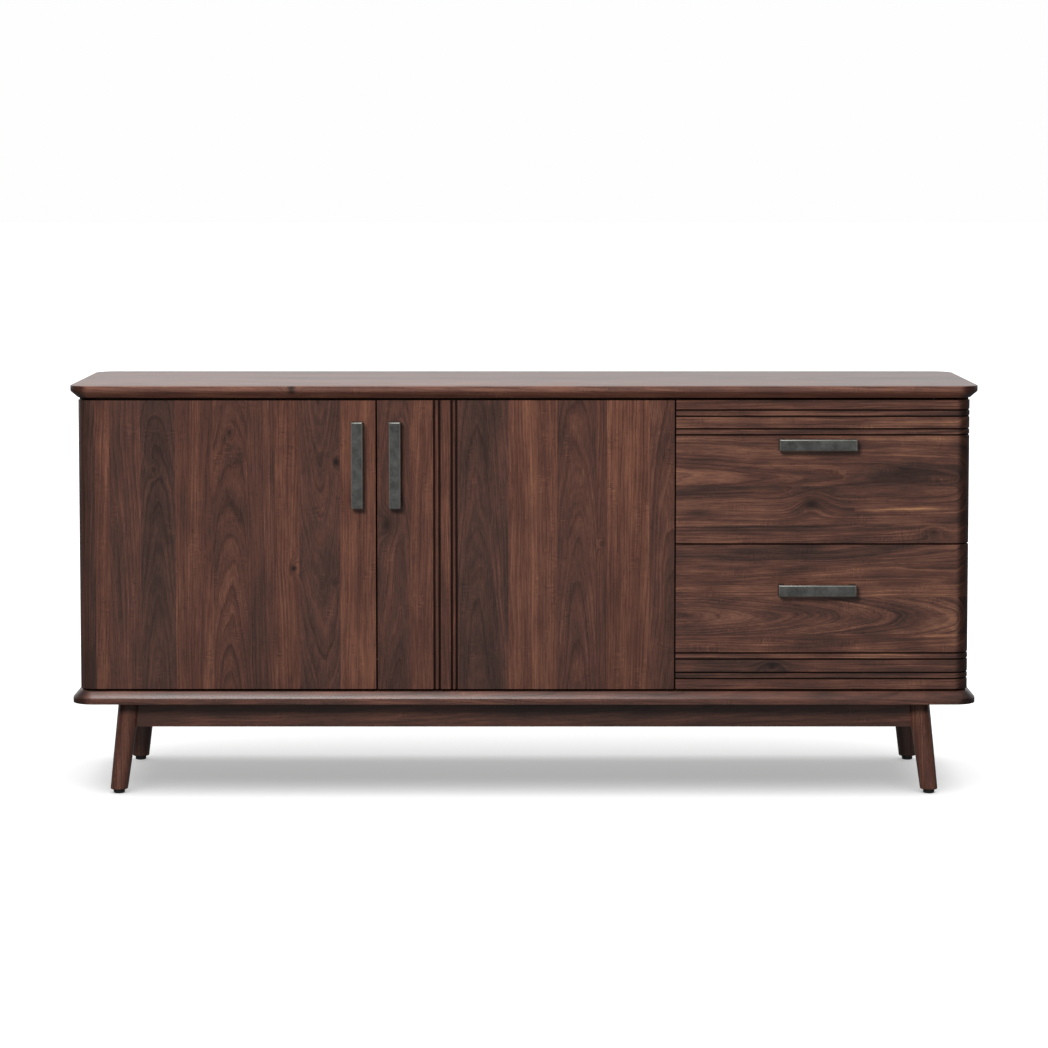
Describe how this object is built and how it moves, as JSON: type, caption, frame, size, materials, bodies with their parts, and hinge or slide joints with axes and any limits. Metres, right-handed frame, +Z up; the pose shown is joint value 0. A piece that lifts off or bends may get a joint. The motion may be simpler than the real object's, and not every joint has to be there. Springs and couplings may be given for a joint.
{
  "type": "sideboard buffet",
  "caption": "Long walnut sideboard with a pair of hinged doors over an adjustable shelf, stacked drawers on telescopic slides and a splayed-leg plinth.",
  "frame": {"origin": "on the floor, below the middle of the bounding box of the whole sideboard, handles included", "axes": "+X to the right as one faces the doors, +Y from the doors to the back, +Z up"},
  "size_m": [1.798, 0.463, 0.819],
  "materials": {
    "walnut_outside": "satin lacquer over dark stained walnut",
    "walnut_inside": "satin lacquer over lighter walnut",
    "plywood": "thin lacquer over veneered plywood",
    "pewter": "aged gunmetal",
    "zinc_steel": "zinc plated",
    "black_plastic": "moulded"
  },
  "bodies": {
    "cabinet": {"top_board": "walnut_outside", "base_board": "walnut_outside", "side_panel_left": "walnut_outside", "side_panel_right": "walnut_outside", "apron_front": "walnut_outside", "apron_back": "walnut_outside", "apron_left": "walnut_outside", "apron_right": "walnut_outside", "leg_front_left": "walnut_outside", "leg_front_right": "walnut_outside", "leg_back_left": "walnut_outside", "leg_back_right": "walnut_outside", "divider_panel": "walnut_inside", "top_rail": "walnut_inside", "drawer_rail": "walnut_inside", "shelf": "walnut_inside", "back_panel_left": "plywood", "back_panel_right": "plywood", "door_catch": "black_plastic", "glide_front_left": "black_plastic", "glide_front_right": "black_plastic", "glide_back_left": "black_plastic", "glide_back_right": "black_plastic", "shelf_pin_1": "zinc_steel", "shelf_pin_2": "zinc_steel", "shelf_pin_3": "zinc_steel", "shelf_pin_4": "zinc_steel", "slide_upper_left_cabinet": "zinc_steel", "slide_upper_right_cabinet": "zinc_steel", "slide_lower_left_cabinet": "zinc_steel", "slide_lower_right_cabinet": "zinc_steel"},
    "door_left": {"door_left": "walnut_outside", "handle_door_left": "pewter", "pivot_left_top": "zinc_steel", "pivot_left_bottom": "zinc_steel"},
    "door_right": {"door_right": "walnut_outside", "handle_door_right": "pewter", "pivot_right_top": "zinc_steel", "pivot_right_bottom": "zinc_steel"},
    "drawer_upper": {"drawer_upper_front": "walnut_outside", "drawer_upper_side_left": "walnut_inside", "drawer_upper_side_right": "walnut_inside", "drawer_upper_back": "walnut_inside", "drawer_upper_bottom": "plywood", "handle_drawer_upper": "pewter", "slide_upper_left_drawer": "zinc_steel", "slide_upper_right_drawer": "zinc_steel"},
    "slides_upper": {"slide_upper_left_middle": "zinc_steel", "slide_upper_right_middle": "zinc_steel"},
    "drawer_lower": {"drawer_lower_front": "walnut_outside", "drawer_lower_side_left": "walnut_inside", "drawer_lower_side_right": "walnut_inside", "drawer_lower_back": "walnut_inside", "drawer_lower_bottom": "plywood", "handle_drawer_lower": "pewter", "slide_lower_left_drawer": "zinc_steel", "slide_lower_right_drawer": "zinc_steel"},
    "slides_lower": {"slide_lower_left_middle": "zinc_steel", "slide_lower_right_middle": "zinc_steel"}
  },
  "joints": [
    {"name": "door_left_hinge", "type": "hinge", "parent": "cabinet", "child": "door_left", "pos_m": [-0.8705, -0.1765, 0.2143], "axis": [0, 0, -1], "range_deg": [0, 90]},
    {"name": "door_right_hinge", "type": "hinge", "parent": "cabinet", "child": "door_right", "pos_m": [0.29, -0.1955, 0.2143], "axis": [0, 0, 1], "range_deg": [0, 90]},
    {"name": "drawer_upper_slide", "type": "slide", "parent": "cabinet", "child": "drawer_upper", "axis": [0, -1, 0], "range_m": [0, 0.35]},
    {"name": "drawer_lower_slide", "type": "slide", "parent": "cabinet", "child": "drawer_lower", "axis": [0, -1, 0], "range_m": [0, 0.35]},
    {"name": "slides_upper_slide", "type": "slide", "parent": "cabinet", "child": "slides_upper", "axis": [0, -1, 0], "range_m": [0, 0.175]},
    {"name": "slides_lower_slide", "type": "slide", "parent": "cabinet", "child": "slides_lower", "axis": [0, -1, 0], "range_m": [0, 0.175]}
  ],
  "couplings": [
    {"joint": "slides_upper_slide", "follows": "drawer_upper_slide", "ratio": 0.5},
    {"joint": "slides_lower_slide", "follows": "drawer_lower_slide", "ratio": 0.5}
  ]
}
